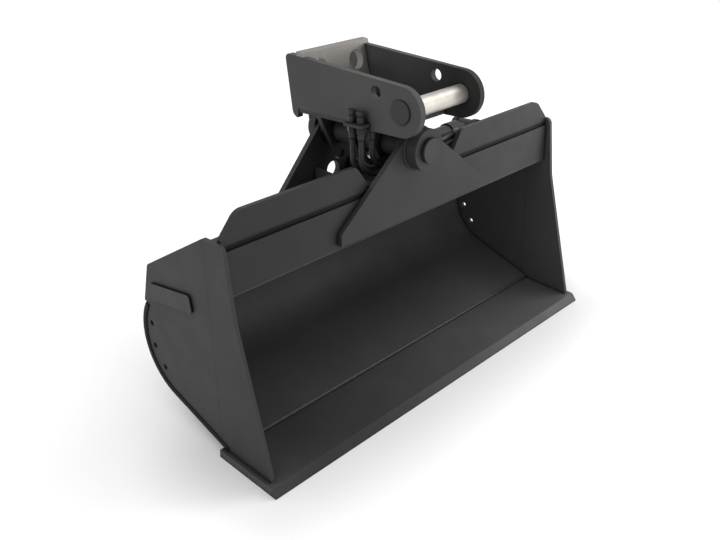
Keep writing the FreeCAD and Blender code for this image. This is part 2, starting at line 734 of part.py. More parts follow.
def make_gland():
    gland = rod_across(GLAND_RADIUS, GLAND_START, BARREL_INNER_END, CYLINDER_STATION, -CYLINDER_DROP)
    end = BARREL_INNER_END + GLAND_SPIGOT
    spigot = rod_across(BARREL_BORE - GLAND_FIT, BARREL_INNER_END, end, CYLINDER_STATION, -CYLINDER_DROP)
    gland = gland.fuse(spigot)
    return gland.cut(rod_across(ROD_RADIUS + ROD_FIT, GLAND_START - 1, end + 1, CYLINDER_STATION, -CYLINDER_DROP)).removeSplitter()


def make_rod():
    """Rod with its eye round the lug pin; the eye's bore is wide because the eye keeps level while the pin swings."""
    rod = rod_across(ROD_RADIUS, 0.0, PISTON_X, CYLINDER_STATION, -CYLINDER_DROP)
    rod = rod.fuse(rod_across(NECK_RADIUS, 0.0, EYE_RADIUS + 3.0, CYLINDER_STATION, -CYLINDER_DROP))
    rod = rod.fuse(eye_block(0.0))
    half = EYE_WIDTH / 2
    return rod.cut(rod_along(OPEN_PIVOT_BORE, CYLINDER_STATION - half - 1, CYLINDER_STATION + half + 1,
                             above=-CYLINDER_DROP)).removeSplitter()


def make_piston():
    return rod_across(BARREL_BORE - PISTON_FIT, PISTON_X, PISTON_X + PISTON_LENGTH, CYLINDER_STATION, -CYLINDER_DROP)


def ear_fronts():
    half = EYE_WIDTH / 2 + EAR_GAP
    return [CYLINDER_STATION - half - EAR_THICKNESS, CYLINDER_STATION + half]


def make_ears(box):
    """Pair of ears on the sloping top plate that hold the outer cylinder pin."""
    pieces = []
    for front in ear_fronts():
        back = front + EAR_THICKNESS
        top = -CYLINDER_DROP
        face = tongue(front, (CYLINDER_OUTER_X, top), EAR_RADIUS, [
            (CYLINDER_OUTER_X + EAR_HALF_BASE, top - 90.0, 0),
            (CYLINDER_OUTER_X - EAR_HALF_BASE, top - 90.0, 0),
        ], 1)
        ear = to_world(face.extrude(Vector(0, EAR_THICKNESS, 0))).cut(box)
        ear = ear.cut(rod_along(CYLINDER_PIN_RADIUS + PIN_FIT, front - 1, back + 1, x=CYLINDER_OUTER_X, above=top))
        pieces.append(max(ear.Solids, key=lambda solid: solid.Volume))
    return solids(*pieces)


def make_outer_pin():
    fronts = ear_fronts()
    front = fronts[0] - 6.0
    back = fronts[1] + EAR_THICKNESS + 6.0
    pin = rod_along(CYLINDER_PIN_RADIUS, front, back, x=CYLINDER_OUTER_X, above=-CYLINDER_DROP)
    head = rod_along(CYLINDER_PIN_RADIUS + 5.0, back - 5.8, back, x=CYLINDER_OUTER_X, above=-CYLINDER_DROP)
    return pin.fuse(head).removeSplitter()


def make_head_plate():
    """Side plate of the head: round nose about the shaft, and a foot that reaches down behind the floor plate."""
    centre = (NOSE_Y, NOSE_Z)
    top_y, top_z = touch_point((HEAD_REAR_Y, HEAD_REAR_TOP_Z), centre, NOSE_RADIUS, 1)
    along, above = tilt_along_above(NOSE_Y, NOSE_Z)
    low_y, low_z = world_yz(along, above - NOSE_RADIUS)
    top = Vector(HEAD_INNER, top_y, top_z)
    low = Vector(HEAD_INNER, low_y, low_z)
    front = Vector(HEAD_INNER, NOSE_Y - NOSE_RADIUS, NOSE_Z)
    foot_y, foot_z = world_yz(FLOOR_BACK + 6.0, HEAD_FOOT_HEIGHT - 6.0)
    notch_y, notch_z = world_yz(FLOOR_BACK + 4.0, FLOOR_TOP)
    seat_y, seat_z = world_yz(FLOOR_WIDE_FRONT, FLOOR_TOP)
    step_y, step_z = world_yz(FLOOR_WIDE_FRONT, above - NOSE_RADIUS)
    edges = rounded_edges([
        (top, 0),
        (Vector(HEAD_INNER, HEAD_REAR_Y, HEAD_REAR_TOP_Z), HEAD_TOP_CORNER),
        (Vector(HEAD_INNER, HEAD_REAR_FOOT_Y, HEAD_REAR_FOOT_Z), HEAD_FOOT_CORNER),
        (Vector(HEAD_INNER, foot_y, foot_z), 3.0),
        (Vector(HEAD_INNER, notch_y, notch_z), 3.0),
        (Vector(HEAD_INNER, seat_y, seat_z), 0),
        (Vector(HEAD_INNER, step_y, step_z), 0),
        (low, 0),
    ], closed=False)
    edges.append(Part.Arc(low, front, top).toShape())
    plate = Part.Face(Part.Wire(edges)).extrude(Vector(HEAD_PLATE_THICKNESS, 0, 0))
    hole = Part.makeCylinder(HEAD_HOLE_RADIUS, 60, Vector(HEAD_INNER - 20, HEAD_HOLE_Y, HEAD_HOLE_Z), Vector(1, 0, 0))
    bore = Part.makeCylinder(SHAFT_RADIUS + WELD_GAP, 60, Vector(HEAD_INNER - 20, NOSE_Y, NOSE_Z), Vector(1, 0, 0))
    return plate.cut(hole).cut(bore)


def make_floor():
    corners = [
        (-HEAD_INNER, FLOOR_FRONT, 0),
        (HEAD_INNER, FLOOR_FRONT, 0),
        (HEAD_INNER, FLOOR_WIDE_FRONT, 0),
        (HEAD_HALF_WIDTH, FLOOR_WIDE_FRONT, 0),
        (HEAD_HALF_WIDTH, FLOOR_BACK, 0),
        (-HEAD_HALF_WIDTH, FLOOR_BACK, 0),
        (-HEAD_HALF_WIDTH, FLOOR_WIDE_FRONT, 0),
        (-HEAD_INNER, FLOOR_WIDE_FRONT, 0),
    ]
    face = outline([(Vector(x, s, FLOOR_BOTTOM), r) for x, s, r in corners])
    return to_world(face.extrude(Vector(0, 0, FLOOR_THICKNESS)))


def make_cross_plate(side_plate):
    """Leaning plate between the side plates; its upper edge lies across both of them."""
    foot_y, foot_z = CROSS_FOOT_Y, world_yz(*tilt_along_above(CROSS_FOOT_Y, NOSE_Z)[:1], FLOOR_TOP)[1]
    run = math.atan2(CROSS_TOP_Z - foot_z, CROSS_TOP_Y - foot_y)
    thick_y = CROSS_THICKNESS / math.sin(run)
    plate = plate_across([
        (CROSS_TOP_Y, CROSS_TOP_Z, 2.0),
        (CROSS_TOP_Y - thick_y, CROSS_TOP_Z, 2.0),
        (foot_y - thick_y, foot_z + thick_y * math.tan(LEAN), 0),
        (foot_y, foot_z, 0),
    ], -HEAD_HALF_WIDTH, HEAD_HALF_WIDTH)
    plate = plate.cut(side_plate).cut(mirrored(side_plate))
    plate = max(plate.Solids, key=lambda solid: solid.Volume)
    centre_z = CROSS_TOP_Z - CROSS_HOLE_DROP
    centre_y = CROSS_TOP_Y - CROSS_HOLE_DROP / math.tan(run)
    for sign in (-1, 1):
        hole = Part.makeCylinder(CROSS_HOLE_RADIUS, 120, Vector(sign * CROSS_HOLE_OFFSET, centre_y - 80, centre_z + 80 / math.tan(run)),
                                 Vector(0, math.sin(run), -math.cos(run)))
        plate = plate.cut(hole)
    return plate


def make_shaft():
    length = 2 * (HEAD_HALF_WIDTH - WELD_GAP)
    shaft = Part.makeCylinder(SHAFT_RADIUS, length, Vector(-length / 2, NOSE_Y, NOSE_Z), Vector(1, 0, 0))
    return shaft


def make_cap():
    """Round disc that closes the shaft's bore in the side plate."""
    end = HEAD_HALF_WIDTH + CAP_LENGTH
    cap = Part.makeCylinder(CAP_RADIUS, CAP_LENGTH, Vector(HEAD_HALF_WIDTH, NOSE_Y, NOSE_Z), Vector(1, 0, 0))
    rim = [edge for edge in cap.Edges if edge.BoundBox.XMin > end - 0.1]
    return cap.makeChamfer(CAP_CHAMFER, rim)


def make_badge():
    half_l = BADGE_LENGTH / 2
    half_h = BADGE_HEIGHT / 2
    x = -SIDE_OUTER - BADGE_THICKNESS
    plate = plate_across([(-half_l, -half_h, BADGE_CORNER), (half_l, -half_h, BADGE_CORNER),
                          (half_l, half_h, BADGE_CORNER), (-half_l, half_h, BADGE_CORNER)], 0, BADGE_THICKNESS)
    plate.Placement = Placement(Vector(x, BADGE_Y, BADGE_Z), Rotation(Vector(1, 0, 0), -BADGE_LEAN))
    return plate


def make_shelf():
    corners = [
        (-HEAD_HALF_WIDTH, COUPLING_SHELF_FRONT, 0),
        (-HEAD_HALF_WIDTH - COUPLING_SHELF_OUT, COUPLING_SHELF_FRONT, 8.0),
        (-HEAD_HALF_WIDTH - COUPLING_SHELF_OUT, COUPLING_SHELF_BACK, 8.0),
        (-HEAD_HALF_WIDTH, COUPLING_SHELF_BACK, 0),
    ]
    low = COUPLING_SHELF_TOP - COUPLING_SHELF_THICKNESS
    face = outline([(Vector(x, s, low), r) for x, s, r in corners])
    shelf = to_world(face.extrude(Vector(0, 0, COUPLING_SHELF_THICKNESS)))
    for station in COUPLING_STATIONS:
        hole = Part.makeCylinder(COUPLING_RADIUS - 1.5, 40, Vector(COUPLING_X, station, low - 20))
        shelf = shelf.cut(to_world(hole))
    return shelf


def make_couplings():
    """Bulkhead couplings: plug end above the shelf, nut and hose end below it."""
    pieces = []
    for station in COUPLING_STATIONS:
        low = COUPLING_SHELF_TOP - COUPLING_SHELF_THICKNESS
        stem = Part.makeCylinder(COUPLING_RADIUS - 1.6, COUPLING_SHELF_THICKNESS, Vector(COUPLING_X, station, low))
        low_part = COUPLING_HEIGHT * 0.55
        collar = Part.makeCylinder(COUPLING_RADIUS, low_part, Vector(COUPLING_X, station, COUPLING_SHELF_TOP))
        neck = Part.makeCylinder(COUPLING_RADIUS - 2.0, 5.0, Vector(COUPLING_X, station, COUPLING_SHELF_TOP + low_part))
        nose = Part.makeCylinder(COUPLING_RADIUS, COUPLING_HEIGHT - low_part - 5.0,
                                 Vector(COUPLING_X, station, COUPLING_SHELF_TOP + low_part + 5.0))
        plug = collar.fuse(neck).fuse(nose)
        nut_low = low - COUPLING_NUT_LENGTH
        radius = COUPLING_NUT_RADIUS
        hexagon = []
        for i in range(6):
            turn = math.radians(60 * i)
            hexagon.append((Vector(COUPLING_X + radius * math.cos(turn), station + radius * math.sin(turn), nut_low), 0))
        nut = outline(hexagon).extrude(Vector(0, 0, COUPLING_NUT_LENGTH))
        pieces.append(to_world(plug.fuse(stem).fuse(nut).removeSplitter()))
    return solids(*pieces)


def make_tees():
    """Blocks on the two barrel ports, each with two hose outlets that face the hub."""
    pieces = []
    for x in PORT_XS:
        block = Part.makeBox(2 * TEE_HALF_LENGTH, TEE_DEPTH, TEE_TOP - TEE_BOTTOM,
                             Vector(x - TEE_HALF_LENGTH, TEE_STATION - TEE_DEPTH / 2, TEE_BOTTOM))
        pieces.append(to_world(block))
    return solids(*pieces)


def make_floor_fittings():
    """Hexagon fittings under the head floor that the inner pair of hoses starts from."""
    pieces = []
    for station in FLOOR_FITTING_STATIONS:
        low = FLOOR_BOTTOM - FLOOR_FITTING_LENGTH
        hexagon = []
        for i in range(6):
            turn = math.radians(60 * i + 30)
            across = FLOOR_FITTING_X + FERRULE_RADIUS * math.cos(turn)
            hexagon.append((Vector(across, station + FERRULE_RADIUS * math.sin(turn), low), 0))
        pieces.append(to_world(outline(hexagon).extrude(Vector(0, 0, FLOOR_FITTING_LENGTH))))
    return solids(*pieces)


def bent_path(points):
    """Straight runs joined by tangent arcs; gives the wire and the bend radii."""
    edges = []
    radii = []
    position = points[0]
    for i in range(1, len(points) - 1):
        back = (points[i - 1] - points[i])
        ahead = (points[i + 1] - points[i])
        shorter = min(back.Length, ahead.Length)
        back.normalize()
        ahead.normalize()
        half = back.getAngle(ahead) / 2
        reach = BEND_SHARE * shorter
        radius = reach * math.tan(half)
        bisector = (back + ahead).normalize()
        start = points[i] + back * reach
        end = points[i] + ahead * reach
        middle = points[i] + bisector * (radius / math.sin(half) - radius)
        edges.append(Part.LineSegment(position, start).toShape())
        edges.append(Part.Arc(start, middle, end).toShape())
        radii.append(radius)
        position = end
    edges.append(Part.LineSegment(position, points[-1]).toShape())
    return Part.Wire(edges), radii


def make_hose(name, points):
    """Hose with a crimped ferrule at each end, drawn in the tilt frame."""
    path, radii = bent_path(points)
    ring = Part.Wire(Part.makeCircle(HOSE_RADIUS, points[0], points[1] - points[0]))
    tube = path.makePipeShell([ring], True, False)
    share = tube.Volume / (math.pi * HOSE_RADIUS ** 2 * path.Length)
    print(name, "length %.0f" % path.Length, "bend radii", ["%.0f" % radius for radius in radii], "volume share %.4f" % share)
    for end, inner in ((points[0], points[1]), (points[-1], points[-2])):
        ferrule = Part.makeCylinder(FERRULE_RADIUS, FERRULE_LENGTH, end, inner - end)
        tube = tube.fuse(ferrule)
    return to_world(tube.removeSplitter())


def hose_routes():
    near, far = COUPLING_STATIONS[0], COUPLING_STATIONS[1]
    top = COUPLING_SHELF_TOP - COUPLING_SHELF_THICKNESS - COUPLING_NUT_LENGTH
    floor = FLOOR_BOTTOM - FLOOR_FITTING_LENGTH
    inner_x = FLOOR_FITTING_X
    ports = [x - TEE_HALF_LENGTH for x in PORT_XS]
    low = LOW_HOSE
    high = HIGH_HOSE
    low_port = low - PORT_SPREAD
    high_port = high + PORT_SPREAD
    return {
        "hose_outer_front": [Vector(COUPLING_X, far, top), Vector(COUPLING_X, far, low), Vector(0, FRONT_HOSES, low),
                             Vector(TEE_PASS_X, TEE_PASS, low), Vector(ports[1], TEE_STATION, low_port)],
        "hose_outer_rear": [Vector(COUPLING_X, near, top), Vector(COUPLING_X, near, low), Vector(0, REAR_HOSES, low),
                            Vector(ports[0], TEE_STATION, low_port)],
        "hose_inner_front": [Vector(inner_x, FLOOR_FITTING_STATIONS[1], floor), Vector(inner_x, FLOOR_FITTING_STATIONS[1], high),
                             Vector(0, FRONT_HOSES, high), Vector(TEE_PASS_X, TEE_PASS, high),
                             Vector(ports[1], TEE_STATION, high_port)],
        "hose_inner_rear": [Vector(inner_x, FLOOR_FITTING_STATIONS[0], floor), Vector(inner_x, FLOOR_FITTING_STATIONS[0], high),
                            Vector(0, REAR_HOSES, high), Vector(ports[0], TEE_STATION, high_port)],
    }


parts["cutting_edge"] = make_blade()
side_right = make_side_plate()
side_left = mirrored(side_right)
skin = make_skin().cut(side_right).cut(side_left)
skin = max(skin.Solids, key=lambda solid: solid.Volume)
band = make_band()
skin = skin.cut(band)
box_top = make_box_top()
box_rear = make_box_rear(skin, box_top)
box = box_solid()
parts["bucket_skin"] = skin
parts["side_plate_left"] = side_left
parts["side_plate_right"] = side_right
parts["box_front_plate"] = band
parts["box_top_plate"] = box_top
parts["box_rear_plate"] = box_rear
parts["box_ribs"] = make_ribs(skin, box_top, box_rear, band)
flange = make_flange()
for neighbour in (box, side_right):
    flange = flange.cut(neighbour)
flange = max(flange.Solids, key=lambda solid: solid.Volume)
parts["flange_right"] = flange
parts["flange_left"] = mirrored(flange)
parts["front_hanger_plate"] = make_front_hanger()
parts["front_hanger_boss"] = make_front_boss()
parts["rear_hanger_plate"] = make_rear_hanger(box)
parts["rear_hanger_boss"] = make_rear_boss()
parts["hanger_gussets"] = make_gussets(box)
parts["cylinder_ears"] = make_ears(box)
parts["name_plate"] = make_badge()
parts["tilt_pin"] = make_tilt_pin()
parts["pin_keeper"] = make_keeper()
parts["keeper_bolts"] = make_keeper_bolts()
parts["thrust_washers"] = make_washers()
parts["cylinder_outer_pin"] = make_outer_pin()

parts["hub_tube"] = make_hub()
parts["hub_bushes"] = make_bushes()
for name, front in LUG_FRONTS.items():
    parts["hub_lug_" + name] = make_lug(front)
parts["lug_pin"] = make_lug_pin()
parts["pin_spacers"] = make_pin_spacers()
parts["head_floor"] = make_floor()
head_right = make_head_plate()
parts["head_side_right"] = head_right
parts["head_side_left"] = mirrored(head_right)
parts["head_cross_plate"] = make_cross_plate(head_right)
parts["coupler_shaft"] = make_shaft()
cap = make_cap()
parts["shaft_cap_right"] = cap
parts["shaft_cap_left"] = mirrored(cap)
parts["coupling_shelf"] = make_shelf()
parts["hose_couplings"] = make_couplings()
parts["floor_fittings"] = make_floor_fittings()
parts["port_tees"] = make_tees()
for name, points in hose_routes().items():
    parts[name] = make_hose(name, points).cut(parts["port_tees"])

parts["cylinder_barrel"] = make_barrel()
parts["cylinder_gland"] = make_gland()
parts["cylinder_rod"] = make_rod()
parts["cylinder_piston"] = make_piston()

os.makedirs("parts", exist_ok=True)
for name, shape in parts.items():
    shape.exportStep("parts/" + name + ".step")
    box_size = shape.BoundBox
    print(name, "solids", len(shape.Solids), "valid", shape.isValid(), "volume %.0f" % shape.Volume,
          "x %.0f..%.0f y %.0f..%.0f z %.0f..%.0f" % (box_size.XMin, box_size.XMax, box_size.YMin,
                                                      box_size.YMax, box_size.ZMin, box_size.ZMax))
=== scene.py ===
# %% [markdown]
# # Tilt ditching bucket
# A wide grading bucket hangs on a head that tilts sideways about one long pin. The machine grips
# the bright shaft of the head, and a cylinder on the right swings the bucket under it. The packed
# CAD model gives nearly every shape and place. This file gives the surfaces, the light and the
# camera, and the few small shapes that the CAD model leaves out.

# %% Load the frame
import json
import math

import bmesh
import bpy
from mathutils import Matrix, Vector


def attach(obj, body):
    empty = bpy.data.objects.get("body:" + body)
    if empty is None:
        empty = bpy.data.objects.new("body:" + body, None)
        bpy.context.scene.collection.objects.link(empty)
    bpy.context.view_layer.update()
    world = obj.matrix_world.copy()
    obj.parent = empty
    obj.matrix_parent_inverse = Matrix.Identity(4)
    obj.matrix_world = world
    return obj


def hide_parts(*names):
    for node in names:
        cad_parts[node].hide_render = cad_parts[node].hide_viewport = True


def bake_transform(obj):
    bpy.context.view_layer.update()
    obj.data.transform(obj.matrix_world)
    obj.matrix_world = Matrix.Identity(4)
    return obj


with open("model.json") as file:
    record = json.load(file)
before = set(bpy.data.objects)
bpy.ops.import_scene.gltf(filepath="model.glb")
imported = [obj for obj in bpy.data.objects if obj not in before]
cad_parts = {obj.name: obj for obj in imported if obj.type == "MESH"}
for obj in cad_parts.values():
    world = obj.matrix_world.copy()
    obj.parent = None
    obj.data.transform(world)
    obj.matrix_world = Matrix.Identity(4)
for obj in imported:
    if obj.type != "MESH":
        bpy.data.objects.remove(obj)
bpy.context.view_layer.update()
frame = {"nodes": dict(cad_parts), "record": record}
nodes = frame["nodes"]

# %% [markdown]
# ## Camera
# The photograph is taken from the front left and well above the bucket, with a normal lens. A
# camera could be aimed by hand until it looks right. Here its place and its small roll were solved
# from pairs of mirrored corners of the bucket, so the render can be laid over the photograph.

# %% Camera
PHOTO_WIDTH_PX = 720
FOCAL_PX = 865.06
SENSOR_WIDTH_MM = 36.0
AZIMUTH = math.radians(-48.02)
ELEVATION = math.radians(29.19)
ROLL = math.radians(2.98)
CAMERA_PLACE = (-1.5019, -1.0152, 1.3186)

back_x = math.sin(AZIMUTH) * math.cos(ELEVATION)
back_y = -math.cos(AZIMUTH) * math.cos(ELEVATION)
back = Vector((back_x, back_y, math.sin(ELEVATION)))
level = Vector((math.cos(AZIMUTH), math.sin(AZIMUTH), 0.0))
upright = back.cross(level)
right = level * math.cos(ROLL) + upright * math.sin(ROLL)
up = upright * math.cos(ROLL) - level * math.sin(ROLL)
camera_data = bpy.data.cameras.new("photo_camera")
camera_data.sensor_width = SENSOR_WIDTH_MM
camera_data.lens = FOCAL_PX * camera_data.sensor_width / PHOTO_WIDTH_PX
camera = bpy.data.objects.new("photo_camera", camera_data)
bpy.context.collection.objects.link(camera)
turn = Matrix((right, up, back)).transposed().to_4x4()
camera.matrix_world = Matrix.Translation(CAMERA_PLACE) @ turn
bpy.context.scene.camera = camera
print("camera at", CAMERA_PLACE, "lens mm", round(camera_data.lens, 2))

# %% [markdown]
# ## Material helpers
# The real surfaces are clouded, grained and a little worn. An image could carry that, but here
# each layer is noise in the object's own coordinates, so it needs no image and stays the same
# from any side. A layer is a noise texture, cut to a range and used as a mask, a colour or a
# height.


# %% Node helpers
def new_material(name):
    """A material, its node tree, its shader and the object's own coordinates."""
    material = bpy.data.materials.new(name)
    material.use_nodes = True
    tree = material.node_tree
    shader = tree.nodes["Principled BSDF"]
    place = tree.nodes.new("ShaderNodeTexCoord").outputs["Object"]
    return material, tree, shader, place


def noise(tree, place, scale, detail=4.0, roughness=0.55, stretch=None):
    if stretch is not None:
        mapping = tree.nodes.new("ShaderNodeMapping")
        mapping.inputs["Scale"].default_value = stretch
        tree.links.new(place, mapping.inputs["Vector"])
        place = mapping.outputs["Vector"]
    texture = tree.nodes.new("ShaderNodeTexNoise")
    texture.inputs["Scale"].default_value = scale
    texture.inputs["Detail"].default_value = detail
    texture.inputs["Roughness"].default_value = roughness
    tree.links.new(place, texture.inputs["Vector"])
    return texture.outputs["Fac"]


def cut_range(tree, value, low, high, to_low=0.0, to_high=1.0):
    """A smooth step: to_low up to low, to_high from high on."""
    remap = tree.nodes.new("ShaderNodeMapRange")
    remap.interpolation_type = "SMOOTHSTEP"
    remap.inputs["From Min"].default_value = low
    remap.inputs["From Max"].default_value = high
    remap.inputs["To Min"].default_value = to_low
    remap.inputs["To Max"].default_value = to_high
    tree.links.new(value, remap.inputs["Value"])
    return remap.outputs["Result"]


def mix_colour(tree, mask, first, second):
    """The first colour where the mask is 0, the second where it is 1."""
    mix = tree.nodes.new("ShaderNodeMix")
    mix.data_type = "RGBA"
    tree.links.new(mask, mix.inputs["Factor"])
    for socket, colour in ((mix.inputs[6], first), (mix.inputs[7], second)):
        if isinstance(colour, tuple):
            socket.default_value = (*colour, 1.0)
        else:
            tree.links.new(colour, socket)
    return mix.outputs[2]


def calculate(tree, operation, first, second):
    """One sum on two values, each a plain number or the output of a node."""
    node = tree.nodes.new("ShaderNodeMath")
    node.operation = operation
    for socket, value in zip(node.inputs, (first, second)):
        if isinstance(value, float):
            socket.default_value = value
        else:
            tree.links.new(value, socket)
    return node.outputs["Value"]


def bump(tree, shader, height, strength, distance):
    node = tree.nodes.new("ShaderNodeBump")
    node.inputs["Strength"].default_value = strength
    node.inputs["Distance"].default_value = distance
    tree.links.new(height, node.inputs["Height"])
    tree.links.new(node.outputs["Normal"], shader.inputs["Normal"])


print("node helpers: material, noise, range, mix, sum and bump")

# %% [markdown]
# ## Wear and painted shade
# Paint on a real bucket is thin and pale on its edges. Its corners and gaps get painted shade,
# a darker colour where less light reaches. Both could be painted by hand, edge by edge. Two nodes
# find them instead: the bevel node knows the edges, and ambient occlusion knows the corners and gaps.


# %% Wear and painted shade
def edge_mask(tree, radius, low, high):
    """Bright on edges: a bevelled normal turns away from the flat normal there."""
    bevel = tree.nodes.new("ShaderNodeBevel")
    bevel.samples = 6
    bevel.inputs["Radius"].default_value = radius
    flat = tree.nodes.new("ShaderNodeNewGeometry").outputs["Normal"]
    dot = tree.nodes.new("ShaderNodeVectorMath")
    dot.operation = "DOT_PRODUCT"
    tree.links.new(bevel.outputs["Normal"], dot.inputs[0])
    tree.links.new(flat, dot.inputs[1])
    turned = calculate(tree, "SUBTRACT", 1.0, dot.outputs["Value"])
    return cut_range(tree, turned, low, high)


def painted_corner_shade(tree, reach, darkest):
    """Painted shade: a factor that drops in inner corners and narrow gaps, where light is lost."""
    open_sky = tree.nodes.new("ShaderNodeAmbientOcclusion")
    open_sky.samples = 8
    open_sky.inputs["Distance"].default_value = reach
    return cut_range(tree, open_sky.outputs["AO"], low=0.4, high=0.9, to_low=darkest, to_high=1.0)


def axis_value(tree, place, axis):
    """One coordinate of the place, in metres."""
    split = tree.nodes.new("ShaderNodeSeparateXYZ")
    tree.links.new(place, split.inputs["Vector"])
    return split.outputs[axis]


def shade(tree, tone, factor):
    """The colour times a factor below or above one."""
    scale = tree.nodes.new("ShaderNodeVectorMath")
    scale.operation = "SCALE"
    tree.links.new(tone, scale.inputs[0])
    tree.links.new(factor, scale.inputs["Scale"])
    return scale.outputs["Vector"]


print("wear and dirt helpers: edges, corners, coordinate, shade")

# %% [markdown]
# ## Painted light and shade of single pieces
# In the photograph some plates differ from the rest. The blade gets painted light towards its right
# end, is lighter at its left end and gets painted shade on its bevel. The inside of the sheet gets
# painted light on its upper half and right end. A painted shade line follows a fold down the side
# plates, the right one gets painted light on its inner face, and a painted shadow lies under the
# upright plates. The band and the upright plates get painted shade towards the left. The far side
# plate of the head gets painted light in its rear half and painted shade at its nose. An image for
# each piece could carry these. Here each is a factor on the paint's colour that depends on the
# place on the piece, which needs no image and looks right from any side.

# %% Painted light and shade of single pieces
LEAN = math.radians(5.5)
AXIS_Y = 0.320
AXIS_Z = 0.573
FLANGE_DROP = 0.070
FOOT_SHADE_WIDTH = 0.008
FOLD_NORMAL = (0.0, 0.9961, -0.0883)
FOLD_DISTANCE = 0.1848
FOLD_WIDTH = 0.004
RIGHT_PLATE_FROM = 0.5
INNER_FACE_UP_TO = 0.580
INNER_PAINTED_LIGHT = 0.6


def blade_painted_light_and_shade(tree, place):
    """Painted light towards the right end, a lighter left end, and painted shade on the bevel."""
    across = axis_value(tree, place, "X")
    # painted light, brighter towards the right end
    dust_and_painted_light = cut_range(tree, across, low=-0.45, high=0.55, to_low=1.0, to_high=2.05)
    corner = cut_range(tree, across, low=-0.58, high=-0.42, to_low=1.35, to_high=1.0)
    # painted shade on the bevel
    bevel = cut_range(tree, axis_value(tree, place, "Y"), low=0.0135, high=0.0155, to_low=0.72, to_high=1.0)
    return calculate(tree, "MULTIPLY", calculate(tree, "MULTIPLY", dust_and_painted_light, corner), bevel)


def skin_painted_light_and_shade(tree, place):
    """Inside, painted light on the upper half and the right end. The last millimetre at both ends is dark,
    as a raw cut and as painted shade.
    """
    across = axis_value(tree, place, "X")
    from_middle = calculate(tree, "ABSOLUTE", across, 0.0)
    # dark cut ends: a raw cut, and painted shade
    ends = cut_range(tree, from_middle, low=0.5815, high=0.5825, to_low=1.0, to_high=0.12)
    # painted light on the upper half and the right end, inside
    roof = cut_range(tree, axis_value(tree, place, "Z"), low=0.2, high=0.36, to_low=1.0, to_high=1.7)
    right_end = cut_range(tree, across, low=0.1, high=0.5, to_low=1.0, to_high=1.7)
    dust_and_painted_light = calculate(tree, "MULTIPLY", roof, right_end)
    return calculate(tree, "MULTIPLY", dust_and_painted_light, ends)


def band_painted_shade(tree, place):
    """Painted shade: the band across the mouth is darker towards the left."""
    across = axis_value(tree, place, "X")
    # painted shade, darker towards the left
    return cut_range(tree, across, low=-0.55, high=0.05, to_low=0.77, to_high=0.98)


def flange_painted_shade(tree, place):
    """As on the band, and a painted shadow along the foot, which lies FLANGE_DROP under the tilt axis."""
    above = tree.nodes.new("ShaderNodeVectorMath")
    above.operation = "DOT_PRODUCT"
    above.inputs[1].default_value = (0.0, math.sin(LEAN), math.cos(LEAN))
    tree.links.new(place, above.inputs[0])
    foot = AXIS_Y * math.sin(LEAN) + AXIS_Z * math.cos(LEAN) - FLANGE_DROP
    # painted shadow along the foot of the upright plate
    shaded_seam = cut_range(tree, above.outputs["Value"], foot, foot + FOOT_SHADE_WIDTH, to_low=0.35, to_high=1.0)
    return calculate(tree, "MULTIPLY", band_painted_shade(tree, place), shaded_seam)


def side_painted_light_and_shade(tree, place):
    """A painted shade line follows a faint fold down each side plate from its peak to the blade.

    The inner face of the right one gets painted light.
    """
    towards_back = tree.nodes.new("ShaderNodeVectorMath")
    towards_back.operation = "DOT_PRODUCT"
    towards_back.inputs[1].default_value = FOLD_NORMAL
    tree.links.new(place, towards_back.inputs[0])
    from_fold = calculate(tree, "SUBTRACT", towards_back.outputs["Value"], FOLD_DISTANCE)
    beside_fold = calculate(tree, "ABSOLUTE", from_fold, 0.0)
    # painted shade line along the fold
    fold = cut_range(tree, beside_fold, low=0.0, high=FOLD_WIDTH, to_low=0.84, to_high=1.0)
    across = axis_value(tree, place, "X")
    right_plate = calculate(tree, "GREATER_THAN", across, RIGHT_PLATE_FROM)
    inner_half = calculate(tree, "LESS_THAN", across, INNER_FACE_UP_TO)
    inside = calculate(tree, "MULTIPLY", right_plate, inner_half)
    # painted light on the inner face of the right plate
    dust_and_painted_light = calculate(tree, "ADD", calculate(tree, "MULTIPLY", inside, INNER_PAINTED_LIGHT), 1.0)
    return calculate(tree, "MULTIPLY", fold, dust_and_painted_light)


def head_painted_light_and_shade(tree, place):
    """Painted light on the rear half of the far side plate of the head, painted shade at its round nose."""
    # painted shade at the nose, painted light towards the rear
    return cut_range(tree, axis_value(tree, place, "Y"), low=0.12, high=0.34, to_low=0.62, to_high=1.5)


print("marks for: blade, sheet, band, upright plates, side plates, far head plate")

# %% [markdown]
# ## Paint
# The bucket wears one coat of anthracite powder paint: satin, with a fine orange peel, a gloss
# that varies a little, and lighter edges where it is thin. One plain colour would look like
# plastic, so the paint is a few layers of noise over that colour, with painted shade in its
# corners. All painted pieces share it, and those with painted light and shade of their own get a
# material that adds it. The near side plate of the head gets a lighter grey as painted light, as
# in the photograph.

# %% Paint
ANTHRACITE = (0.0286, 0.0286, 0.0286)
# painted light: a lighter copy of the paint for the near side plate of the head
NEAR_HEAD_LIT_GREY = (0.047, 0.047, 0.047)
SATIN = 0.52
EDGE_RADIUS = 0.0016
CORNER_REACH = 0.014
PEEL_DEPTH = 0.0006


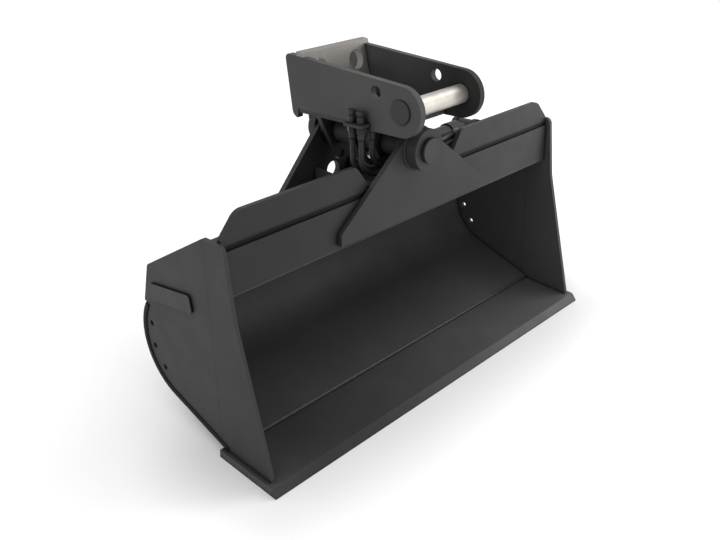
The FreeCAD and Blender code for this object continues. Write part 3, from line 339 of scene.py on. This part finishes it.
def paint(name, colour, roughness, peel=0.05, painted_light_and_marks=None, shine=0.2):
    """Powder paint with clouds, rubbed edges, painted shade in corners, orange peel and the painted light
    and shade of one piece.
    """
    material, tree, shader, place = new_material(name)
    cloud = noise(tree, place, scale=6.0, detail=5.0, roughness=0.6)
    fine = noise(tree, place, scale=900.0, detail=2.0)
    grain = noise(tree, place, scale=260.0, detail=2.0)
    lighter = tuple(c * 1.07 for c in colour)
    darker = tuple(c * 0.94 for c in colour)
    tone = mix_colour(tree, cut_range(tree, cloud, 0.35, 0.68), darker, lighter)
    worn = tuple(c * 1.9 + 0.01 for c in colour)
    edges = edge_mask(tree, EDGE_RADIUS, low=0.03, high=0.22)
    patches = cut_range(tree, noise(tree, place, scale=24.0, detail=4.0), 0.3, 0.7)
    tone = mix_colour(tree, calculate(tree, "MULTIPLY", edges, patches), tone, worn)
    # painted shade in corners and gaps, which also dims the shine there
    factor = painted_corner_shade(tree, CORNER_REACH, darkest=0.3)
    if painted_light_and_marks is not None:
        factor = calculate(tree, "MULTIPLY", factor, painted_light_and_marks(tree, place))
    tree.links.new(shade(tree, tone, factor), shader.inputs["Base Color"])
    tree.links.new(calculate(tree, "MULTIPLY", factor, shine), shader.inputs["Specular IOR Level"])
    haze = noise(tree, place, scale=14.0, detail=6.0, roughness=0.65)
    rough = cut_range(tree, haze, 0.3, 0.7, to_low=roughness - 0.04, to_high=roughness + 0.05)
    tree.links.new(rough, shader.inputs["Roughness"])
    height = calculate(tree, "ADD", calculate(tree, "MULTIPLY", fine, 0.4), grain)
    bump(tree, shader, height, peel, PEEL_DEPTH)
    return material


side_paint = paint("side_paint", ANTHRACITE, SATIN, painted_light_and_marks=side_painted_light_and_shade)
flange_paint = paint("flange_paint", ANTHRACITE, SATIN, painted_light_and_marks=flange_painted_shade)
special_paint = {
    "cutting_edge": paint("blade_paint", ANTHRACITE, SATIN, painted_light_and_marks=blade_painted_light_and_shade),
    "bucket_skin": paint("skin_paint", ANTHRACITE, SATIN, painted_light_and_marks=skin_painted_light_and_shade),
    "side_plate_left": side_paint,
    "side_plate_right": side_paint,
    "box_front_plate": paint("band_paint", ANTHRACITE, SATIN, painted_light_and_marks=band_painted_shade),
    "flange_left": flange_paint,
    "flange_right": flange_paint,
    "head_side_left": paint("head_paint_left_lit", NEAR_HEAD_LIT_GREY, SATIN),
    "head_side_right": paint("head_paint_right", ANTHRACITE, SATIN, painted_light_and_marks=head_painted_light_and_shade),
}
print("paints for single nodes:", sorted(special_paint))

# %% [markdown]
# ## Bare metal and rubber
# The shaft is turned bright steel with fine rings round it, and the cross plate is blasted plate
# that never saw paint. The rings could be cut into the mesh, but they are a fraction of a
# millimetre wide, so noise that is stretched round the X axis gives them as bump and gloss. The
# hoses have a matt cover with faint marks of the cloth they were wrapped in.


# %% Bare metal and rubber
def turned_steel(name, colour, roughness, ring_scale):
    """Rings round the X axis, left by a lathe tool."""
    material, tree, shader, place = new_material(name)
    rings = noise(tree, place, ring_scale, detail=3.0, roughness=0.6, stretch=(1.0, 0.02, 0.02))
    smear = noise(tree, place, scale=18.0, detail=4.0, roughness=0.6, stretch=(1.0, 0.5, 0.5))
    dull = tuple(c * 0.78 for c in colour)
    tone = mix_colour(tree, cut_range(tree, smear, 0.35, 0.7), colour, dull)
    tree.links.new(tone, shader.inputs["Base Color"])
    rough = cut_range(tree, rings, 0.3, 0.7, to_low=roughness, to_high=roughness + 0.12)
    tree.links.new(rough, shader.inputs["Roughness"])
    shader.inputs["Metallic"].default_value = 0.9
    bump(tree, shader, rings, strength=0.12, distance=0.0004)
    return material


def blasted_plate(name, colour):
    material, tree, shader, place = new_material(name)
    cloud = noise(tree, place, scale=16.0, detail=6.0, roughness=0.65)
    pits = noise(tree, place, scale=420.0, detail=3.0)
    dull = tuple(c * 0.72 for c in colour)
    tone = mix_colour(tree, cut_range(tree, cloud, 0.36, 0.66), dull, colour)
    tree.links.new(tone, shader.inputs["Base Color"])
    rough = cut_range(tree, cloud, 0.3, 0.7, to_low=0.42, to_high=0.6)
    tree.links.new(rough, shader.inputs["Roughness"])
    shader.inputs["Metallic"].default_value = 0.55
    bump(tree, shader, pits, strength=0.12, distance=0.0004)
    return material


def rubber(name):
    """Wrapped outer cover of a hydraulic hose, with faint cloth marks."""
    material, tree, shader, place = new_material(name)
    cloth = noise(tree, place, scale=700.0, detail=2.0)
    dust_and_painted_light = noise(tree, place, scale=40.0, detail=4.0)
    clean = (0.009, 0.009, 0.010)
    dusty = (0.022, 0.022, 0.023)
    tone = mix_colour(tree, cut_range(tree, dust_and_painted_light, 0.45, 0.75), clean, dusty)
    tree.links.new(tone, shader.inputs["Base Color"])
    rough = cut_range(tree, dust_and_painted_light, 0.3, 0.7, to_low=0.5, to_high=0.68)
    tree.links.new(rough, shader.inputs["Roughness"])
    bump(tree, shader, cloth, strength=0.25, distance=0.0005)
    return material


looks = {
    "anthracite_paint": paint("anthracite_paint", ANTHRACITE, SATIN),
    "bare_shaft": turned_steel("bare_shaft", (0.53, 0.505, 0.46), roughness=0.42, ring_scale=900.0),
    "bare_plate": blasted_plate("bare_plate", (0.243, 0.231, 0.212)),
    "chrome_rod": turned_steel("chrome_rod", (0.42, 0.43, 0.44), roughness=0.18, ring_scale=1600.0),
    "dark_steel": paint("dark_steel", (0.031, 0.031, 0.031), roughness=0.45),
    "bronze": turned_steel("bronze", (0.085, 0.068, 0.048), roughness=0.45, ring_scale=1200.0),
    "plated_fittings": paint("plated_fittings", (0.022, 0.022, 0.023), roughness=0.36),
    "hose_rubber": rubber("hose_rubber"),
    "badge_plastic": paint("badge_plastic", (0.014, 0.014, 0.014), roughness=0.36, peel=0.02, shine=0.26),
}
print("looks:", sorted(looks))

# %% [markdown]
# ## Dressing the model
# The record names a finish for each node, and each node gets the look of its finish. Round faces
# already come smooth from the import and plate edges crisp, so no mesh is touched here.

# %% Dress the nodes
for entry in frame["record"]["subparts"]:
    piece = nodes[entry["node"]]
    look = special_paint.get(entry["node"], looks[entry["material_slot"]])
    if not piece.material_slots:
        piece.data.materials.append(look)
    for place_slot in piece.material_slots:
        place_slot.material = look

# %% [markdown]
# ## Finer hose copies
# The real hoses bend when the head tilts: their upper ends go with the head and their lower runs lie
# still on the bucket. A rigid CAD hose would swing through the box, so each hose is shown by a copy of
# its own mesh, cut finer where it hangs.

# %% Finer hose copies
LONG_STEP = 0.007
SAME_POINT = 0.00001
HANG_CUTS = 7
SHARP_FROM = math.radians(40)


def flexing_hose(node):
    mesh = nodes[node].data.copy()
    work = bmesh.new()
    work.from_mesh(mesh)
    bmesh.ops.remove_doubles(work, verts=work.verts, dist=SAME_POINT)
    hanging = [edge for edge in work.edges if abs(edge.verts[0].co.z - edge.verts[1].co.z) > LONG_STEP]
    bmesh.ops.subdivide_edges(work, edges=hanging, cuts=HANG_CUTS)
    bmesh.ops.triangulate(work, faces=work.faces)
    work.to_mesh(mesh)
    work.free()
    mesh.shade_smooth()
    mesh.set_sharp_from_angle(angle=SHARP_FROM)
    hose = bpy.data.objects.new(node.replace("hose", "flexing_hose"), mesh)
    bpy.context.collection.objects.link(hose)
    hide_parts(node)
    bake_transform(hose)
    return len(mesh.vertices)


for node in ("hose_outer_front", "hose_outer_rear", "hose_inner_front", "hose_inner_rear"):
    print("flexing", node, "with", flexing_hose(node), "points")

# %% [markdown]
# ## Weld seams
# The CAD model leaves weld seams out. The ones that show are laid here as rippled beads: along the
# joint of the blade and the floor sheet, under the band across the mouth, and round both bosses of
# the tilt pin. A bump could only hint at a bead, so each is a thin tube along a path, swollen a
# little at every step of the welder's hand. The next step lays two more, in the corners of the
# side plates.

# %% Bead helpers
BEAD_SIDES = 8
OFF_THE_PATH = Vector((0.31, 0.52, 0.79))
RIPPLE = 0.10
RIPPLE_TURN = 2.1
WANDER = 0.04
WANDER_TURN = 0.37


def tilt_place(across, along, above):
    """Row-frame point from its place across, along and above the tilt axis, in metres."""
    y = AXIS_Y + along * math.cos(LEAN) + above * math.sin(LEAN)
    z = AXIS_Z - along * math.sin(LEAN) + above * math.cos(LEAN)
    return Vector((across, y, z))


def weld_bead(name, path, radius, closed=False, look=None):
    """A rippled tube along the path, fixed to the bucket."""
    vertices = []
    faces = []
    count = len(path)
    for i, point in enumerate(path):
        ahead = path[(i + 1) % count] if closed or i + 1 < count else point
        behind = path[i - 1] if closed or i > 0 else point
        along = (ahead - behind).normalized()
        first = along.cross(OFF_THE_PATH).normalized()
        second = along.cross(first)
        swell = radius * (1.0 + RIPPLE * math.sin(i * RIPPLE_TURN) + WANDER * math.sin(i * WANDER_TURN))
        for k in range(BEAD_SIDES):
            turn = 2 * math.pi * k / BEAD_SIDES
            vertices.append(point + (first * math.cos(turn) + second * math.sin(turn)) * swell)
    for i in range(count if closed else count - 1):
        for k in range(BEAD_SIDES):
            low = i * BEAD_SIDES
            high = ((i + 1) % count) * BEAD_SIDES
            beside = (k + 1) % BEAD_SIDES
            faces.append((low + k, low + beside, high + beside, high + k))
    mesh = bpy.data.meshes.new(name)
    mesh.from_pydata(vertices, [], faces)
    mesh.shade_smooth()
    mesh.materials.append(look or bead_paint)
    bead = bpy.data.objects.new(name, mesh)
    bpy.context.collection.objects.link(bead)
    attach(bead, "bucket")


def ring_path(radius, along, step=0.002):
    """A circle round the tilt axis, with a point every step."""
    count = int(2 * math.pi * radius / step)
    around = [2 * math.pi * i / count for i in range(count)]
    return [tilt_place(radius * math.cos(turn), along, radius * math.sin(turn)) for turn in around]


print("bead helpers: place by the tilt axis, bead, ring")

# %% Weld beads
BEAD_STEPS = 576
FLOOR_HALF_WIDTH = 0.576
FLOOR_JOINT_Y = 0.1705
FLOOR_JOINT_Z = 0.0212
BAND_HALF_WIDTH = 0.575
BAND_FOOT_ALONG = -0.1315
BAND_FOOT_ABOVE = -0.1775
FRONT_BOSS_RADIUS = 0.0505
FRONT_BOSS_ALONG = -0.148
REAR_BOSS_RADIUS = 0.0465
REAR_BOSS_ALONG = 0.155

bead_paint = paint("bead_paint", (0.036, 0.036, 0.036), roughness=0.42, peel=0.02)
floor_path = []
band_path = []
for i in range(BEAD_STEPS + 1):
    floor_x = -FLOOR_HALF_WIDTH + 2 * FLOOR_HALF_WIDTH * i / BEAD_STEPS
    band_x = -BAND_HALF_WIDTH + 2 * BAND_HALF_WIDTH * i / BEAD_STEPS
    floor_path.append(Vector((floor_x, FLOOR_JOINT_Y, FLOOR_JOINT_Z)))
    band_path.append(tilt_place(band_x, BAND_FOOT_ALONG, BAND_FOOT_ABOVE))
weld_bead("weld_blade", floor_path, radius=0.0062)
weld_bead("weld_band", band_path, radius=0.0032)
weld_bead("weld_front_boss", ring_path(FRONT_BOSS_RADIUS, FRONT_BOSS_ALONG), radius=0.0028, closed=True)
weld_bead("weld_rear_boss", ring_path(REAR_BOSS_RADIUS, REAR_BOSS_ALONG), radius=0.0028, closed=True)

# %% [markdown]
# ## Ends of the sheet
# The bent sheet stands out a little past each side plate. Its cut end shows as a dark strip round
# the floor and the back, with a dark seam in the corner between the two; both are dark as a raw cut
# and as painted shade. The CAD sheet stops 5 mm inside the plate's outer face, so a strip of the
# same profile carries it on at each end. Paint alone couldn't show it, because the strip stands
# proud of the plate.

# %% Profile of the sheet
PLATE_FACE = 0.588
CAD_SHEET_END = 0.583
SHEET_END = 0.5905
SHEET_THICKNESS = 0.008
SHEET_START = Vector((0.172, 0.020))
BACK_CENTRE = Vector((0.322, 0.212))
BACK_RADIUS = 0.145
BACK_FROM_DEGREES = -74.5
BACK_SWEEP_DEGREES = 103.0
BACK_STEPS = 130
FLOOR_STEPS = 98
back_steps = range(BACK_STEPS + 1)
turns = [math.radians(BACK_FROM_DEGREES + BACK_SWEEP_DEGREES * i / BACK_STEPS) for i in back_steps]
directions = [Vector((math.cos(turn), math.sin(turn))) for turn in turns]


def sheet_line(across, inset):
    """The sheet's profile at one X, moved inwards from its outer face: the floor, then the round back."""
    start = SHEET_START - directions[0] * inset
    arc = [BACK_CENTRE + direction * (BACK_RADIUS - inset) for direction in directions]
    floor_part = [start.lerp(arc[0], i / FLOOR_STEPS) for i in range(FLOOR_STEPS)]
    return [Vector((across, *point)) for point in floor_part + arc]


print("sheet profile:", len(sheet_line(SHEET_END, 0.0)), "points")


# %% Sheet ends
def sheet_end(name, inner_x, outer_x):
    corners = ((inner_x, 0.0), (outer_x, 0.0), (outer_x, SHEET_THICKNESS), (inner_x, SHEET_THICKNESS))
    lines = [sheet_line(across, inset) for across, inset in corners]
    vertices = [point for row in zip(*lines) for point in row]
    faces = []
    for i in range(len(lines[0]) - 1):
        faces += [(4 * i + k, 4 * i + (k + 1) % 4, 4 * i + 4 + (k + 1) % 4, 4 * i + 4 + k) for k in range(4)]
    last = len(vertices) - 4
    faces += [(3, 2, 1, 0), (last, last + 1, last + 2, last + 3)]
    mesh = bpy.data.meshes.new(name)
    mesh.from_pydata(vertices, [], faces)
    mesh.materials.append(shaded_cut_end)
    strip = bpy.data.objects.new(name, mesh)
    bpy.context.collection.objects.link(strip)
    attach(strip, "bucket")


SEAM_OUT = 0.0005
SEAM_IN = 0.0015
# dark raw cut and painted shade for the sheet ends and the side seams
CUT_DARK = (0.009, 0.009, 0.009)
CUT_LIGHT = (0.014, 0.014, 0.014)
shaded_cut_end, tree, shader, place = new_material("shaded_cut_end")
grit = cut_range(tree, noise(tree, place, scale=120.0, detail=4.0), 0.3, 0.7)
tree.links.new(mix_colour(tree, grit, CUT_DARK, CUT_LIGHT), shader.inputs["Base Color"])
shader.inputs["Roughness"].default_value = 0.6
shader.inputs["Specular IOR Level"].default_value = 0.1
for side, sign in (("left", -1), ("right", 1)):
    sheet_end("sheet_end_" + side, sign * CAD_SHEET_END, sign * SHEET_END)
    shaded_seam = sheet_line(sign * (PLATE_FACE + SEAM_OUT), SHEET_THICKNESS + SEAM_IN)
    weld_bead("weld_side_" + side, shaded_seam, radius=0.0032, look=shaded_cut_end)

# %% [markdown]
# ## Floor
# The photograph's ground is plain white. The floor is a wide white plane, and the world is as
# white, so the two meet without a horizon. A painted shadow greys the floor a little round the
# blade, which seats the bucket on it. That painted shadow follows the distance to the bucket's
# foot, a rectangle under the blade.

# %% Floor
FLOOR_REACH = 30.0
FOOT_HALF_WIDTH = 0.6
FOOT_HALF_DEPTH = 0.075
CLOTH_GREY = (0.93, 0.93, 0.93)
CLOTH_WHITE = (0.95, 0.95, 0.95)
floor_signs = ((-1, -1), (1, -1), (1, 1), (-1, 1))
floor_corners = [(x * FLOOR_REACH, y * FLOOR_REACH, 0) for x, y in floor_signs]
floor_mesh = bpy.data.meshes.new("studio_floor")
floor_mesh.from_pydata(floor_corners, [], [(0, 1, 2, 3)])
floor = bpy.data.objects.new("studio_floor", floor_mesh)
bpy.context.collection.objects.link(floor)
floor_material, tree, shader, place = new_material("studio_white")
clouds = cut_range(tree, noise(tree, place, scale=3.0, detail=3.0), 0.2, 0.8)
cloth = mix_colour(tree, clouds, CLOTH_GREY, CLOTH_WHITE)
from_centre = calculate(tree, "ABSOLUTE", axis_value(tree, place, "X"), 0.0)
beside = calculate(tree, "SUBTRACT", from_centre, FOOT_HALF_WIDTH)
from_middle = calculate(tree, "SUBTRACT", axis_value(tree, place, "Y"), FOOT_HALF_DEPTH)
before = calculate(tree, "SUBTRACT", calculate(tree, "ABSOLUTE", from_middle, 0.0), FOOT_HALF_DEPTH)
beside = calculate(tree, "MAXIMUM", beside, 0.0)
before = calculate(tree, "MAXIMUM", before, 0.0)
beside_squared = calculate(tree, "MULTIPLY", beside, beside)
before_squared = calculate(tree, "MULTIPLY", before, before)
distance = calculate(tree, "SQRT", calculate(tree, "ADD", beside_squared, before_squared), 0.0)
# painted contact shadow round the blade
painted_contact_shadow = cut_range(tree, distance, low=0.0, high=0.24, to_low=0.79, to_high=1.0)
far_away = cut_range(tree, distance, low=1.2, high=5.0, to_low=1.0, to_high=1.055)
brightness = calculate(tree, "MULTIPLY", painted_contact_shadow, far_away)
tree.links.new(shade(tree, cloth, brightness), shader.inputs["Base Color"])
shader.inputs["Roughness"].default_value = 0.9
floor_mesh.materials.append(floor_material)
print("floor:", floor.name, "reaches", FLOOR_REACH, "m each way")

# %% [markdown]
# ## Lights and world
# The photograph has soft studio light. A large soft light hangs above and to the right, a lower
# one beside it brightens the front, and a weaker one fills from the left, so the soft shadow falls
# to the left of the bucket. Small bright lamps would give hard edges to the shadow, so each lamp
# is a wide rectangle. The white world fills the rest.

# %% Lights and world
world = bpy.data.worlds.new("studio")
world.use_nodes = True
bpy.context.scene.world = world
sky = world.node_tree.nodes["Background"]
sky.inputs["Color"].default_value = (1.0, 1.0, 1.0, 1.0)
sky.inputs["Strength"].default_value = 1.0


def area_light(name, place, aim, size, power):
    data = bpy.data.lights.new(name, "AREA")
    data.shape = "RECTANGLE"
    data.size = size[0]
    data.size_y = size[1]
    data.energy = power
    lamp = bpy.data.objects.new(name, data)
    lamp.location = place
    lamp.rotation_euler = (Vector(aim) - Vector(place)).to_track_quat("-Z", "Y").to_euler()
    bpy.context.collection.objects.link(lamp)


area_light("key_right", place=(2.6, -0.6, 3.0), aim=(0.0, 0.2, 0.3), size=(2.0, 2.0), power=41.0)
area_light("low_right", place=(3.2, -1.4, 1.0), aim=(0.0, 0.2, 0.3), size=(1.4, 1.4), power=32.0)
area_light("soft_left", place=(-2.4, 0.5, 3.0), aim=(0.0, 0.2, 0.5), size=(2.0, 2.0), power=22.0)
bpy.context.scene.view_settings.view_transform = "Standard"
